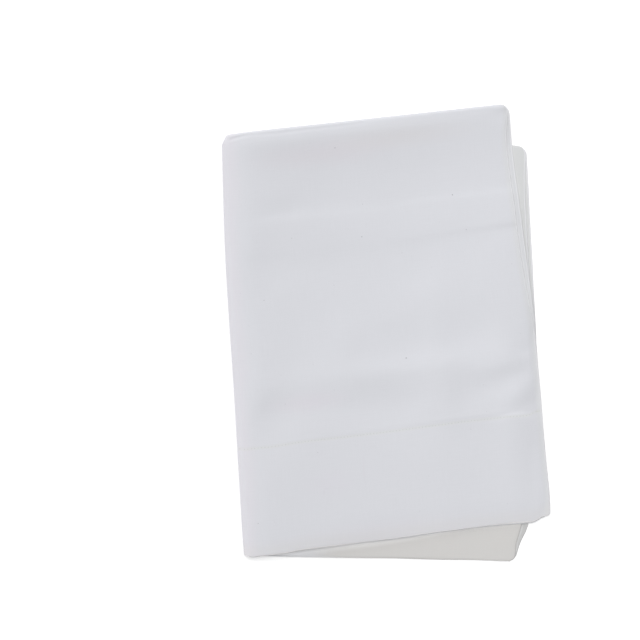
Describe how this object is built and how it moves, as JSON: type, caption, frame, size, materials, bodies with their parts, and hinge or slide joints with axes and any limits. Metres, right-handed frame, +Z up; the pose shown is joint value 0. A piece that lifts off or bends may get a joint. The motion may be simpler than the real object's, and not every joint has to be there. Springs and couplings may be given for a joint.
{
  "type": "folded pillowcase",
  "caption": "Plain white cotton pillowcase with a deep turned hem, folded in half across and then lengthwise into a flat, slightly fanned stack",
  "frame": {"origin": "middle of the folded case's footprint, on the surface it rests on", "axes": "+Z up, +Y along the long folded edge from the hem towards the fold across, +X from the long folded edge towards the loose side edges"},
  "size_m": [0.2628, 0.3862, 0.0133],
  "materials": {
    "white_cotton": "plain white close-woven cotton, matt, ironed"
  },
  "bodies": {
    "root": {"pillowcase": "white_cotton"}
  },
  "joints": []
}
